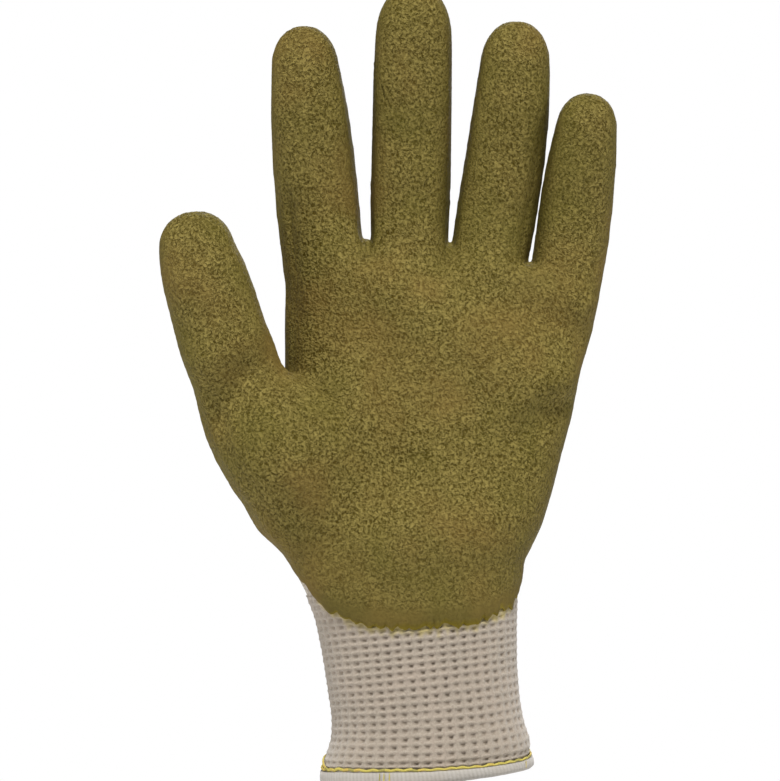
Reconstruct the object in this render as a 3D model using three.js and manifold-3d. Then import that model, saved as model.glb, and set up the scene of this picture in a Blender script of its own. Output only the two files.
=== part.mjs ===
// A left-hand work glove. A seamless knitted glove with an elastic mesh cuff is dipped palm first
// into crinkled latex, and its mouth is overlocked with a hem and one coloured thread.
// Millimetres, +Z towards the fingertips, the palm faces -Y and the thumb points to -X.
// The origin is the centre of the mouth, where the hand goes in.
import * as THREE from "three";
import { LoftGeometry } from "three/addons/geometries/LoftGeometry.js";
import { mergeVertices } from "three/addons/utils/BufferGeometryUtils.js";
import Module from "manifold-3d";

const wasm = await Module();
wasm.setup();

// Walls and clearances
const KNIT_WALL = 1.3;
const CUFF_WALL = 1.5;
const LATEX_WALL = 0.9;
const SEAT_GAP = 0.3;

// Cuff, measured over the knit
const CUFF_HEIGHT = 60;
const CUFF_WIDTH = 61;
const CUFF_DEPTH = 45;
const MOUTH_SLOPE = 0.114; // rise of the mouth towards the little finger, as a slope

// Hem round the mouth
const HEM_HEIGHT = 6.2;
const HEM_WALL = 0.8; // on each side of the cuff's edge
const HEM_TURN = 1.2; // under the cuff's edge
const THREAD_HEIGHT = 1.2;
const THREAD_THICKNESS = 1.0;

// Palm, measured over the knit
const PALM_LENGTH = 96; // end of the cuff to the finger roots
const PALM_WIDTH = 94;
const PALM_DEPTH = 40;

// Latex edge
const DIP_FRONT = 48.2; // height of the edge on the middle of the palm side, above the mouth
const DIP_SIDE = 66; // height where the edge crosses the side of the wrist
const DIP_SLOPE = 0.053; // rise of the edge towards the thumb side, as a slope
const DIP_WRAP = 4.5; // how far the latex wraps behind the middle of the hand
const TIP_DIP = 21; // length of a fingertip that is dipped all round

// Fingers, measured over the knit of the middle one, from its web to its tip
const FINGER_LENGTH = 76.4;
const FINGER_WIDTH = 22.6; // at its root
const FINGER_CURL = 19; // how far its tip stands in front of its root

// x is the middle of a finger at its web, as a share of PALM_WIDTH, and top the web's height above
// the cuff as a share of PALM_LENGTH. length, and lean towards the little finger, are shares of
// FINGER_LENGTH, width of FINGER_WIDTH, curl of FINGER_CURL. taper is the tip's width as a share of
// the finger's own width, and bow is how much of its lean it takes early.
const FINGERS = [
  { x: -0.3436, top: 1.1146, length: 0.8377, lean: -0.0733, bow: 0, width: 1.053, taper: 0.798, curl: 0.79 },
  { x: -0.0511, top: 1.1146, length: 1, lean: 0.0196, bow: 0, width: 1, taper: 0.956, curl: 1 },
  { x: 0.2191, top: 1.1146, length: 0.8534, lean: 0.0995, bow: 0.7, width: 1.009, taper: 0.86, curl: 0.947 },
  { x: 0.4755, top: 1.0417, length: 0.6571, lean: 0.0772, bow: 0, width: 0.92, taper: 0.808, curl: 0.79 },
];

// Webs between neighbouring fingers: x and top, as for the fingers, are the bottom of each notch.
const WEBS = [
  { x: -0.1979, top: 1.1073 },
  { x: 0.0819, top: 1.0979 },
  { x: 0.3426, top: 1.0146 },
];
const WEB_HALF_WIDTH = 6;
const WEB_HALF_DEPTH = 7.5;
const WEB_HALF_HEIGHT = 16;

// Thumb, from its root inside the palm to its tip
const THUMB_ROOT_X = -20;
const THUMB_ROOT_Z = 60;
const THUMB_REACH = 51.5; // towards -X
const THUMB_RISE = 114; // towards +Z
const THUMB_FORWARD = 20; // towards -Y
const THUMB_WIDTH = 25;
const THUMB_DEPTH = 22;

// Facets
const PALM_SIDES = 26;
const FINGER_SIDES = 12;
const DOME_STEPS = [0.42, 0.72, 0.91, 0.99]; // rings of a round tip, as shares of its length
const DOME_POWER = 2.2;
const FAR = 400; // half side of the blocks that only cut

// Sections of the cuff: height is a share of CUFF_HEIGHT, left and right are shares of CUFF_WIDTH,
// front and back of CUFF_DEPTH, slope of MOUTH_SLOPE.
const CUFF_SECTIONS = [
  { height: -0.12, left: 0.495, right: 0.51, front: 0.53, back: 0.53, slope: 1 },
  { height: 0.04, left: 0.51, right: 0.528, front: 0.54, back: 0.54, slope: 1 },
  { height: 0.13, left: 0.512, right: 0.53, front: 0.54, back: 0.54, slope: 1 },
  { height: 0.26, left: 0.477, right: 0.497, front: 0.515, back: 0.515, slope: 1 },
  { height: 0.37, left: 0.473, right: 0.481, front: 0.5, back: 0.5, slope: 1 },
  { height: 0.52, left: 0.495, right: 0.468, front: 0.49, back: 0.49, slope: 1 },
  { height: 0.7, left: 0.522, right: 0.467, front: 0.485, back: 0.48, slope: 0.95 },
  { height: 0.87, left: 0.556, right: 0.47, front: 0.485, back: 0.475, slope: 0.85 },
];

// Sections of the palm: height is a share of PALM_LENGTH above the cuff, left and right are shares
// of PALM_WIDTH, front and back of PALM_DEPTH, slope of MOUTH_SLOPE.
const PALM_SECTIONS = [
  { height: 0, left: 0.39, right: 0.306, front: 0.545, back: 0.53, slope: 0.7 },
  { height: 0.065, left: 0.437, right: 0.316, front: 0.54, back: 0.515, slope: 0.5 },
  { height: 0.13, left: 0.484, right: 0.345, front: 0.525, back: 0.5, slope: 0.25 },
  { height: 0.2, left: 0.535, right: 0.375, front: 0.51, back: 0.485, slope: 0 },
  { height: 0.3, left: 0.53, right: 0.406, front: 0.49, back: 0.475, slope: 0 },
  { height: 0.42, left: 0.49, right: 0.437, front: 0.465, back: 0.465, slope: 0 },
  { height: 0.55, left: 0.462, right: 0.473, front: 0.44, back: 0.455, slope: 0 },
  { height: 0.69, left: 0.455, right: 0.5, front: 0.41, back: 0.43, slope: 0 },
  { height: 0.82, left: 0.452, right: 0.54, front: 0.37, back: 0.385, slope: 0 },
  { height: 0.92, left: 0.45, right: 0.562, front: 0.32, back: 0.33, slope: 0 },
  { height: 0.985, left: 0.448, right: 0.573, front: 0.262, back: 0.262, slope: 0 },
  { height: 1.02, left: 0.44, right: 0.565, front: 0.17, back: 0.17, slope: 0 },
  { height: 1.033, left: 0.42, right: 0.54, front: 0.07, back: 0.07, slope: 0 },
];
const BODY_POWER = 2.4; // squareness of the cuff's and palm's sections, 2 being an ellipse
const FINGER_POWER = 2.15;

// Profile of a finger: along is a share of its length, below 0 where it runs into the palm. taper
// goes from its root's width to its tip's, and flat is its depth as a share of its width.
const FINGER_PROFILE = [
  { along: -0.5, taper: 0.1, flat: 0.91 },
  { along: -0.15, taper: 0, flat: 0.91 },
  { along: 0.15, taper: 0, flat: 0.91 },
  { along: 0.4, taper: 0.1, flat: 0.9 },
  { along: 0.6, taper: 0.38, flat: 0.89 },
  { along: 0.8, taper: 0.96, flat: 0.86 },
];
const CURL_POWER = 1.6;
const ROOT_SPREAD = 0.12; // how much closer together the fingers' roots are, per share below the web

// Profile of the thumb: out is a share of THUMB_REACH, up of THUMB_RISE, forward of THUMB_FORWARD,
// width of THUMB_WIDTH and depth of THUMB_DEPTH.
const THUMB_PROFILE = [
  { out: -0.02, up: 0, forward: 0, width: 1.2, depth: 1.4 },
  { out: 0.115, up: 0.145, forward: 0.1, width: 1.5, depth: 1.6 },
  { out: 0.29, up: 0.27, forward: 0.24, width: 1.86, depth: 1.66 },
  { out: 0.475, up: 0.385, forward: 0.42, width: 1.74, depth: 1.52 },
  { out: 0.63, up: 0.49, forward: 0.56, width: 1.36, depth: 1.3 },
  { out: 0.732, up: 0.585, forward: 0.67, width: 1.1, depth: 1.14 },
  { out: 0.816, up: 0.667, forward: 0.75, width: 1.04, depth: 1.06 },
  { out: 0.885, up: 0.776, forward: 0.85, width: 1, depth: 1 },
  { out: 0.93, up: 0.842, forward: 0.92, width: 0.965, depth: 0.955 },
  { out: 0.969, up: 0.9, forward: 0.95, width: 0.87, depth: 0.87 },
];
const THUMB_TIP = { out: 1, up: 1, forward: 1 };

// Edge of the latex seen from the side, from the middle of the palm side to the web: depth is a
// share of half CUFF_DEPTH in front of the middle, rise goes from DIP_FRONT to DIP_SIDE.
const DIP_EDGE = [
  { depth: 1, rise: 0 },
  { depth: 0.75, rise: 0.12 },
  { depth: 0.5, rise: 0.36 },
  { depth: 0.25, rise: 0.66 },
  { depth: 0, rise: 1 },
];

// The same edge behind the middle of the hand: height runs from DIP_SIDE to the web, as a share,
// and wrap is a share of DIP_WRAP.
const DIP_BEHIND = [
  { height: 0.09, wrap: 0.8 },
  { height: 0.25, wrap: 1.1 },
  { height: 1, wrap: 1 },
];
const THUMB_DIP_RISE = 0.3; // share of THUMB_RISE from which the edge follows the thumb's own middle
const THUMB_CROTCH = 0.47; // share of PALM_WIDTH to the crotch between thumb and palm
const THUMB_CROTCH_RISE = 0.54; // share of THUMB_RISE up to the crotch
const THUMB_LEAN = 0.17; // lean of the plane between thumb and index finger, as a slope

// A closed three.js geometry as a solid that can be joined and cut.
function solid(geometry) {
  const bare = new THREE.BufferGeometry();
  bare.setAttribute("position", geometry.getAttribute("position"));
  bare.setIndex(geometry.index);
  const merged = mergeVertices(bare, 1e-4);
  return new wasm.Manifold(
    new wasm.Mesh({
      numProp: 3,
      vertProperties: merged.attributes.position.array,
      triVerts: new Uint32Array(merged.index.array),
    }),
  );
}

// The solid of a loft through rings of points, closed at both ends.
function lofted(rings) {
  return solid(new LoftGeometry(rings, { capStart: true, capEnd: true }));
}

function rounded(value, power) {
  return Math.sign(value) * Math.abs(value) ** (2 / power);
}

// One level ring of the cuff or palm, pushed out by grow on all sides.
function bodyRing(s, grow) {
  const middle = (s.right - s.left) / 2;
  const half = (s.right + s.left) / 2 + grow;
  const points = [];
  for (let i = 0; i < PALM_SIDES; i++) {
    const angle = (i / PALM_SIDES) * 2 * Math.PI;
    const across = rounded(Math.cos(angle), BODY_POWER) * half;
    const depth = (Math.sin(angle) < 0 ? s.front : s.back) + grow;
    const y = rounded(Math.sin(angle), BODY_POWER) * depth;
    points.push(new THREE.Vector3(middle + across, y, s.z + s.slope * (middle + across)));
  }
  return points;
}

// Cuff and palm as one closed form, grow millimetres larger than the knit.
function body(grow) {
  const cuff = CUFF_SECTIONS.map((s) => ({
    z: s.height * CUFF_HEIGHT,
    left: s.left * CUFF_WIDTH,
    right: s.right * CUFF_WIDTH,
    front: s.front * CUFF_DEPTH,
    back: s.back * CUFF_DEPTH,
    slope: s.slope * MOUTH_SLOPE,
  }));
  const palm = PALM_SECTIONS.map((s) => ({
    z: CUFF_HEIGHT + s.height * PALM_LENGTH + (s.height > 0.9 ? grow : 0),
    left: s.left * PALM_WIDTH,
    right: s.right * PALM_WIDTH,
    front: s.front * PALM_DEPTH,
    back: s.back * PALM_DEPTH,
    slope: s.slope * MOUTH_SLOPE,
  }));
  return lofted([...cuff, ...palm].map((s) => bodyRing(s, grow)));
}

// A tube through stations with a place, a width and a depth, each ring square to the tube's line.
function tube(stations, grow) {
  const rings = stations.map((station, i) => {
    const before = stations[Math.max(i - 1, 0)].at;
    const after = stations[Math.min(i + 1, stations.length - 1)].at;
    const along = after.clone().sub(before).normalize();
    const across = new THREE.Vector3(along.z, 0, -along.x).normalize();
    const back = along.clone().cross(across);
    const points = [];
    for (let k = 0; k < FINGER_SIDES; k++) {
      const angle = (k / FINGER_SIDES) * 2 * Math.PI;
      const w = rounded(Math.cos(angle), FINGER_POWER) * (station.width / 2 + station.full * grow);
      const d = rounded(Math.sin(angle), FINGER_POWER) * (station.depth / 2 + station.full * grow);
      points.push(station.at.clone().addScaledVector(across, w).addScaledVector(back, d));
    }
    return points;
  });
  return lofted(rings);
}

// The rings that close a tube in a round tip, from its last full station to the tip's point.
function dome(last, tip, grow) {
  const reach = tip.clone().sub(last.at);
  reach.setLength(reach.length() + grow);
  return DOME_STEPS.map((step) => {
    const full = (1 - step ** DOME_POWER) ** (1 / DOME_POWER);
    return {
      at: last.at.clone().addScaledVector(reach, step),
      width: last.width * full,
      depth: last.depth * full,
      full,
    };
  });
}

// A height given as a share of PALM_LENGTH above the cuff.
function overCuff(share) {
  return CUFF_HEIGHT + share * PALM_LENGTH;
}

// A point on a finger's line.
function fingerPoint(f, along) {
  const root = f.x * PALM_WIDTH;
  const share = along < 0 ? along : along * (1 + f.bow - f.bow * along);
  const lean = f.lean * FINGER_LENGTH * share + Math.min(along, 0) * ROOT_SPREAD * root;
  const curl = along < 0 ? 0 : f.curl * FINGER_CURL * along ** CURL_POWER;
  return new THREE.Vector3(root + lean, -curl, overCuff(f.top) + along * f.length * FINGER_LENGTH);
}

function finger(f, grow) {
  const stations = FINGER_PROFILE.map((p) => {
    const width = f.width * FINGER_WIDTH * (1 - (1 - f.taper) * p.taper);
    return { at: fingerPoint(f, p.along), width, depth: width * p.flat, full: 1 };
  });
  return tube([...stations, ...dome(stations.at(-1), fingerPoint(f, 1), grow)], grow);
}

function thumbPoint(p) {
  return new THREE.Vector3(
    THUMB_ROOT_X - p.out * THUMB_REACH,
    -p.forward * THUMB_FORWARD,
    THUMB_ROOT_Z + p.up * THUMB_RISE,
  );
}

function thumb(grow) {
  const stations = THUMB_PROFILE.map((p) => ({
    at: thumbPoint(p),
    width: p.width * THUMB_WIDTH,
    depth: p.depth * THUMB_DEPTH,
    full: 1,
  }));
  return tube([...stations, ...dome(stations.at(-1), thumbPoint(THUMB_TIP), grow)], grow);
}

function web(w, grow) {
  const fill = new THREE.SphereGeometry(1, FINGER_SIDES, FINGER_SIDES / 2);
  fill.scale(WEB_HALF_WIDTH + grow, WEB_HALF_HEIGHT + grow, WEB_HALF_DEPTH + grow);
  fill.rotateX(Math.PI / 2);
  fill.translate(w.x * PALM_WIDTH, 0, overCuff(w.top) - WEB_HALF_HEIGHT);
  return solid(fill);
}

// The whole glove as one filled form, grow millimetres larger than the knit.
function form(grow) {
  const parts = [thumb(grow), ...FINGERS.map((f) => finger(f, grow)), ...WEBS.map((w) => web(w, grow))];
  return parts.reduce((whole, part) => whole.add(part), body(grow));
}

function block(low, high) {
  const size = high.clone().sub(low);
  const box = new THREE.BoxGeometry(size.x, size.y, size.z);
  box.translate(low.x + size.x / 2, low.y + size.y / 2, low.z + size.z / 2);
  return box;
}

// All that lies from low to high above the mouth, between planes that slope as the mouth does.
function layer(low, high) {
  const box = block(new THREE.Vector3(-FAR, -FAR, low), new THREE.Vector3(FAR, FAR, high));
  box.rotateY(-Math.atan(MOUTH_SLOPE));
  return solid(box);
}

// All that lies in front of a line of points seen from the side.
function inFrontOf(line) {
  const side = new THREE.Shape();
  side.moveTo(-FAR, line[0].z);
  for (const p of line) side.lineTo(p.y, p.z);
  side.lineTo(line.at(-1).y, FAR);
  side.lineTo(-FAR, FAR);
  // The outline lies in X and Y and is extruded along Z: turned so that its X is the part's Y.
  const bath = new THREE.ExtrudeGeometry(side, { depth: 2 * FAR, bevelEnabled: false });
  bath.translate(0, 0, -FAR);
  bath.applyMatrix4(new THREE.Matrix4().set(0, 0, 1, 0, 1, 0, 0, 0, 0, 1, 0, 0, 0, 0, 0, 1));
  bath.rotateY(Math.atan(DIP_SLOPE));
  return solid(bath);
}

// All on the thumb's side of a plane that leans through the crotch between thumb and palm.
function besidePalm() {
  const crotchX = -THUMB_CROTCH * PALM_WIDTH;
  const crotchZ = THUMB_ROOT_Z + THUMB_CROTCH_RISE * THUMB_RISE;
  const half = block(new THREE.Vector3(-FAR, -FAR, -FAR), new THREE.Vector3(0, FAR, FAR));
  half.rotateY(-Math.atan(THUMB_LEAN));
  half.translate(crotchX, 0, crotchZ);
  return solid(half);
}

// All that is dipped in latex: what lies in front of the latex edge, and the tips.
function dipped() {
  const webZ = overCuff(Math.min(...FINGERS.map((f) => f.top)));
  const longest = FINGERS.reduce((a, b) => (a.length > b.length ? a : b));
  const wrist = DIP_EDGE.map((p) => ({
    y: (-p.depth * CUFF_DEPTH) / 2,
    z: DIP_FRONT + p.rise * (DIP_SIDE - DIP_FRONT),
  }));
  const behindPalm = DIP_BEHIND.map((p) => ({
    y: p.wrap * DIP_WRAP,
    z: DIP_SIDE + p.height * (webZ - DIP_SIDE),
  }));
  const behind = (at) => ({ y: at.y + DIP_WRAP, z: at.z });
  const fingerRows = FINGER_PROFILE.filter((p) => p.along > 0);
  const behindFingers = fingerRows.map((p) => behind(fingerPoint(longest, p.along)));
  const thumbRows = THUMB_PROFILE.filter((p) => p.up > THUMB_DIP_RISE);
  const behindThumb = thumbRows.map((p) => behind(thumbPoint(p)));
  const hand = inFrontOf([...wrist, ...behindPalm, ...behindFingers]);
  const thumbSide = inFrontOf([...wrist, behindPalm[0], ...behindThumb]);
  const tips = FINGERS.map((f) => ({ at: fingerPoint(f, 1), half: (f.width * FINGER_WIDTH) / 2 }));
  tips.push({ at: thumbPoint(THUMB_TIP), half: THUMB_WIDTH / 2 });
  return tips.reduce((whole, tip) => {
    const half = tip.half + SEAT_GAP + LATEX_WALL;
    const low = new THREE.Vector3(tip.at.x - half, -FAR, tip.at.z - TIP_DIP);
    const high = new THREE.Vector3(tip.at.x + half, FAR, tip.at.z + TIP_DIP);
    return whole.add(solid(block(low, high)));
  }, hand.subtract(besidePalm().subtract(thumbSide)));
}

const material = (color, roughness) => new THREE.MeshStandardMaterial({ color, roughness, metalness: 0 });
const LATEX = material(0x786936, 0.75);
const KNIT = material(0xb4a692, 0.95);
const CUFF_YARN = material(0xa9998a, 0.95);
const HEM_YARN = material(0xbfb7ad, 0.9);
const MARK_YARN = material(0xc8b23c, 0.85);

function named(name, shape, finish) {
  const made = shape.getMesh();
  const geometry = new THREE.BufferGeometry();
  geometry.setAttribute("position", new THREE.BufferAttribute(made.vertProperties, 3));
  geometry.setIndex(new THREE.BufferAttribute(made.triVerts, 1));
  geometry.computeVertexNormals();
  const mesh = new THREE.Mesh(geometry, finish);
  mesh.name = name;
  return mesh;
}

function knitHand() {
  return form(0).subtract(form(-KNIT_WALL)).intersect(layer(CUFF_HEIGHT + SEAT_GAP, FAR));
}

function knitCuff() {
  return form(0).subtract(form(-CUFF_WALL)).intersect(layer(HEM_TURN + SEAT_GAP, CUFF_HEIGHT));
}

function hemBand() {
  const outside = body(SEAT_GAP + HEM_WALL);
  const inside = body(-CUFF_WALL - SEAT_GAP - HEM_WALL);
  const slot = body(SEAT_GAP).subtract(body(-CUFF_WALL - SEAT_GAP)).intersect(layer(HEM_TURN, FAR));
  return outside.subtract(inside).intersect(layer(0, HEM_HEIGHT)).subtract(slot);
}

function hemThread() {
  const low = HEM_HEIGHT + SEAT_GAP;
  const ring = body(SEAT_GAP + THREAD_THICKNESS).subtract(body(SEAT_GAP));
  return ring.intersect(layer(low, low + THREAD_HEIGHT));
}

function latexCoating() {
  return form(SEAT_GAP + LATEX_WALL).subtract(form(SEAT_GAP)).intersect(dipped());
}

const glove = new THREE.Group();
glove.add(
  named("knit_hand", knitHand(), KNIT),
  named("knit_cuff", knitCuff(), CUFF_YARN),
  named("hem_band", hemBand(), HEM_YARN),
  named("hem_thread", hemThread(), MARK_YARN),
  named("latex_coating", latexCoating(), LATEX),
);

export default glove;
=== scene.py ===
# A latex coated knitted work glove, standing upright and filled out, its palm to the camera.
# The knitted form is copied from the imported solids, relaxed and dented. The liner, the latex
# skin, the mesh cuff, the hem and its thread are laid on that form.
# Lengths in the tables are millimetres; the meshes are metres.
import math
from collections import namedtuple

import bmesh
import bpy
import numpy as np
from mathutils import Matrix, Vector, noise
from mathutils.bvhtree import BVHTree


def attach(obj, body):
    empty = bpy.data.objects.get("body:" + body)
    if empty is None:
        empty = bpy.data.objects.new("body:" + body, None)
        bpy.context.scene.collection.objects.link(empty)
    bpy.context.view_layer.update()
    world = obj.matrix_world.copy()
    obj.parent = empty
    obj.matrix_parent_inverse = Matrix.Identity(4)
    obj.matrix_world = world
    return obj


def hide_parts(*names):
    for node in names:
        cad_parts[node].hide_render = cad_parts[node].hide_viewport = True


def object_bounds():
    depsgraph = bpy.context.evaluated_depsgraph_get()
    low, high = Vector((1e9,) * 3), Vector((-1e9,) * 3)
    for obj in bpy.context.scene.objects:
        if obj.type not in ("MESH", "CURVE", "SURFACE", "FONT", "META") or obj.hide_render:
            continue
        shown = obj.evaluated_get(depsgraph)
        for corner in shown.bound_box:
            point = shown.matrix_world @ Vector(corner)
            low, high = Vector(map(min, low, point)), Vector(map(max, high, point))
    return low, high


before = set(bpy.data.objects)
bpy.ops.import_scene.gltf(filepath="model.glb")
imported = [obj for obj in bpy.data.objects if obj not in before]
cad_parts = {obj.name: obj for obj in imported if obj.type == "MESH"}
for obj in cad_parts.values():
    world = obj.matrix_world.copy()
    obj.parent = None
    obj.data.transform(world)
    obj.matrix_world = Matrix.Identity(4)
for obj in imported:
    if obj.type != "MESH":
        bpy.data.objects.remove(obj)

for start_object in ("Cube", "Light", "Camera"):
    if start_object in bpy.data.objects:
        bpy.data.objects.remove(bpy.data.objects[start_object])
CAD_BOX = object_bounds()
MM = 0.001

# Without a seed the crinkle would swirl another way in each run.
noise.seed_set(11)

# The mouth is cut on a slope. Height above the mouth is measured square to that cut.
MOUTH_ANGLE = math.atan(0.114)
COS_MOUTH = math.cos(MOUTH_ANGLE)
SIN_MOUTH = math.sin(MOUTH_ANGLE)
UP_CUFF = (-SIN_MOUTH, 0, COS_MOUTH)

# Form
FORM_VOXEL = 1.0
FORM_ROUNDS = 12
CREASE_ROUNDS = 90
FORM_TRIANGLES = 60000
FORM_SWELL = 0.2
CUFF_START = 1.5
CUFF_END = 60
HAND_START = 60.3
NO_END = 400  # above the whole glove

# Liner and latex
LINER_START = 59.6
LINER_WALL = 1.2
LATEX_SEAT = 0.08
LATEX_RIM = 0.42
LATEX_FULL = 1.12
LATEX_RIM_WIDTH = 2.2
WRAP = 4.5
TIP_DIP = 12.0  # the length before the end of a finger's line that is dipped all round
CRINKLE_RISE = 0.26
RIDGE_STEEPNESS = 2.6

# Plain knit of the hand
WALE = 2.0
JERSEY_COURSE = 1.45
THUMB_SLANT = 0.37
FINGER_RADIUS = 10.5

# Mesh knit of the cuff: dimples between courses and wales of yarn
CUFF_LOW = 4.4
CUFF_HIGH = 60.4
WALES = 50
COURSE = 2.32
COURSE_AT_HEM = 1.75
COURSES_AT_HEM = 3
CUFF_WALL = 1.35
DIMPLE = 0.5

# Hem and thread
HEM_RIBS = 146
STEPS_A_RIB = 6
THREAD_STITCHES = 92
THREAD_HEIGHT = 7.0
TAIL_STITCHES = 15
LOOSE_ENDS = (0.171, 0.178, 0.187, 0.432)


def linked(name, data):
    """A new object at the origin that holds this mesh, lamp or lens."""
    obj = bpy.data.objects.new(name, data)
    bpy.context.scene.collection.objects.link(obj)
    return obj


def activate(obj):
    bpy.ops.object.select_all(action="DESELECT")
    obj.select_set(True)
    bpy.context.view_layer.objects.active = obj


def new_plane(name, size, location):
    """A square in its place, its origin at the scene's."""
    bpy.ops.mesh.primitive_plane_add(size=size, location=location)
    plane = bpy.context.object
    plane.name = name
    bpy.ops.object.transform_apply(location=True)
    return plane


def turn_faces_out(obj, merge=0.0):
    """Makes every face point outwards, after joining points closer than merge, in metres."""
    activate(obj)
    bpy.ops.object.mode_set(mode="EDIT")
    bpy.ops.mesh.select_all(action="SELECT")
    if merge:
        bpy.ops.mesh.remove_doubles(threshold=merge)
    bpy.ops.mesh.normals_make_consistent(inside=False)
    bpy.ops.object.mode_set(mode="OBJECT")


def points_of(mesh):
    """Vertices in millimetres."""
    flat = np.empty(len(mesh.vertices) * 3)
    mesh.vertices.foreach_get("co", flat)
    return flat.reshape(-1, 3) / MM


def place(mesh, points):
    mesh.vertices.foreach_set("co", (points * MM).ravel())
    mesh.update()


def normals_of(mesh):
    flat = np.empty(len(mesh.vertices) * 3)
    mesh.vertices.foreach_get("normal", flat)
    return flat.reshape(-1, 3)


def edges_of(mesh):
    flat = np.empty(len(mesh.edges) * 2, int)
    mesh.edges.foreach_get("vertices", flat)
    return flat.reshape(-1, 2)


def shade_smooth(mesh):
    mesh.polygons.foreach_set("use_smooth", np.ones(len(mesh.polygons), bool))


def mesh_from(name, points, faces):
    mesh = bpy.data.meshes.new(name)
    mesh.from_pydata([tuple(p) for p in points * MM], [], faces)
    mesh.update()
    return mesh


def store(mesh, name, values):
    """Keeps one number a vertex on the mesh, for its material."""
    attribute = mesh.attributes.get(name) or mesh.attributes.new(name, "FLOAT", "POINT")
    attribute.data.foreach_set("value", np.asarray(values, np.float32))


def noise_at(places):
    return np.array([noise.noise(p) for p in places])


def curve_of(value, table):
    """The second column of a table at a value of the first, with straight runs between rows."""
    xs, ys = zip(*table)
    return np.interp(value, xs, ys)


def bell(distance, width):
    return np.exp(-((distance / width) ** 2))


def off_line(points, a, b):
    """Distance of each point from the line a-b, in the plane of X and Z."""
    a, b = np.array(a, float), np.array(b, float)
    run = b - a
    flat = points[:, [0, 2]]
    along = np.clip(((flat - a) @ run) / (run @ run), 0, 1)
    return np.linalg.norm(flat - a - along[:, None] * run, axis=1)


def relaxed(points, edges, weight, rounds):
    """Each point moves towards the middle of its neighbours, by its own weight."""
    n = len(points)
    count = np.bincount(edges.ravel(), minlength=n)
    for _ in range(rounds):
        total = np.empty_like(points)
        for axis in range(3):
            total[:, axis] = np.bincount(edges[:, 0], points[edges[:, 1], axis], n)
            total[:, axis] += np.bincount(edges[:, 1], points[edges[:, 0], axis], n)
        points = points + weight[:, None] * (total / count[:, None] - points)
    return points


def connected_groups(elements, neighbours):
    """The separate groups of a mesh's vertices or faces, each as a set."""
    groups, seen = [], set()
    for start in elements:
        if start in seen:
            continue
        group, front = {start}, [start]
        while front:
            for other in neighbours(front.pop()):
                if other not in group:
                    group.add(other)
                    front.append(other)
        seen |= group
        groups.append(group)
    return groups


# Where the solids meet in hard creases and cloth would run on softly: x, y, z, radius, weight.
SOFT_SPOTS = [
    (-30, -14, 80, 12, 0.5),
    (-33, -16, 92, 13, 0.5),
    (-36, -14, 104, 12, 0.22),
    (-40, -10, 116, 10, 0.15),
    (-40, 12, 104, 12, 0.45),
    (-34, 14, 86, 12, 0.4),
    (-32, -9, 160, 8, 0.45),
    (-5, -10, 161, 8, 0.45),
    (21, -10, 160, 8, 0.45),
    (44, -9, 152, 8, 0.45),
    (-32, 10, 160, 8, 0.45),
    (-5, 11, 161, 8, 0.45),
    (21, 10, 160, 8, 0.45),
    (44, 9, 152, 8, 0.45),
    (-18, -7, 163, 5, 0.35),
    (8, -7, 163, 5, 0.35),
    (33, -7, 155, 5, 0.35),
]

# The narrow ends of the gaps between thumb and fingers, kept sharp: x, y, z.
CROTCHES = [(-43.8, -6, 128), (-18.3, -3, 168), (7.7, -3, 167), (32.5, -3, 158)]
CROTCH_RADIUS = 8.0

# The gap between thumb and index reaches further down than the solids show: x, z, width, depth.
THUMB_CROTCH = (-43.4, 131, 6.5, 4.2)

# How far the side under the thumb is drawn in, by height.
THUMB_SIDE_TUCK = [
    (52, 0.0), (60, 0.8), (68, 1.8), (74, 3.0), (86, 3.6),
    (93, 2.7), (99, 1.1), (106, 0.3), (112, 0.0),
]

# Folds and dents on the palm side: a line from (x, z) to (x, z), how wide, and how far it stands
# out (above 0) or in (below 0).
PALM_FOLDS = [
    ((-20, 158), (42, 118), 10.0, 3.4),
    ((22, 157), (48, 147), 6.5, 1.8),
    ((26, 148), (50, 138), 6.0, -1.5),
    ((37, 113), (48, 119), 5.5, -2.0),
    ((22, 104), (40, 112), 6.0, -0.9),
    ((36, 117), (43, 116), 4.0, -2.0),
    ((28, 116), (40, 124), 5.0, 1.2),
    ((-66, 130), (-53, 137), 6.5, 1.8),
    ((-63, 112), (-55, 125), 5.5, -2.6),
    ((-52, 106), (-44, 117), 7.0, 1.0),
    ((-40, 97), (-28, 111), 13.0, 4.0),
    ((-44, 70), (-30, 62), 11.0, 1.6),
    ((-10, 100), (-14, 140), 7.0, -1.5),
    ((-12, 76), (16, 79), 12.0, 3.4),
    ((-20, 66), (-8, 96), 6.0, -0.9),
    ((-18, 160), (-12, 157), 5.0, 1.4),
    ((8, 161), (13, 157), 5.0, 1.4),
    ((-45, 126), (-43, 176), 6.0, -1.9),
    ((37, 200), (31.5, 162), 4.5, -1.6),
    ((8, 190), (7, 170), 2.5, -1.3),
    ((-34, 188), (-34, 186), 8.0, 0.4),
    ((-36, 209), (-36, 207), 14.0, 2.0),
    ((-4, 214), (-4, 212), 14.0, 1.3),
    ((27, 207), (27, 205), 14.0, 1.3),
    ((49, 196), (49, 194), 11.0, 0.9),
    ((-5, 190), (-5, 188), 8.0, 0.9),
    ((24, 184), (24, 182), 8.0, 0.9),
    ((-67, 155), (-65, 150), 11.0, 1.8),
]


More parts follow.
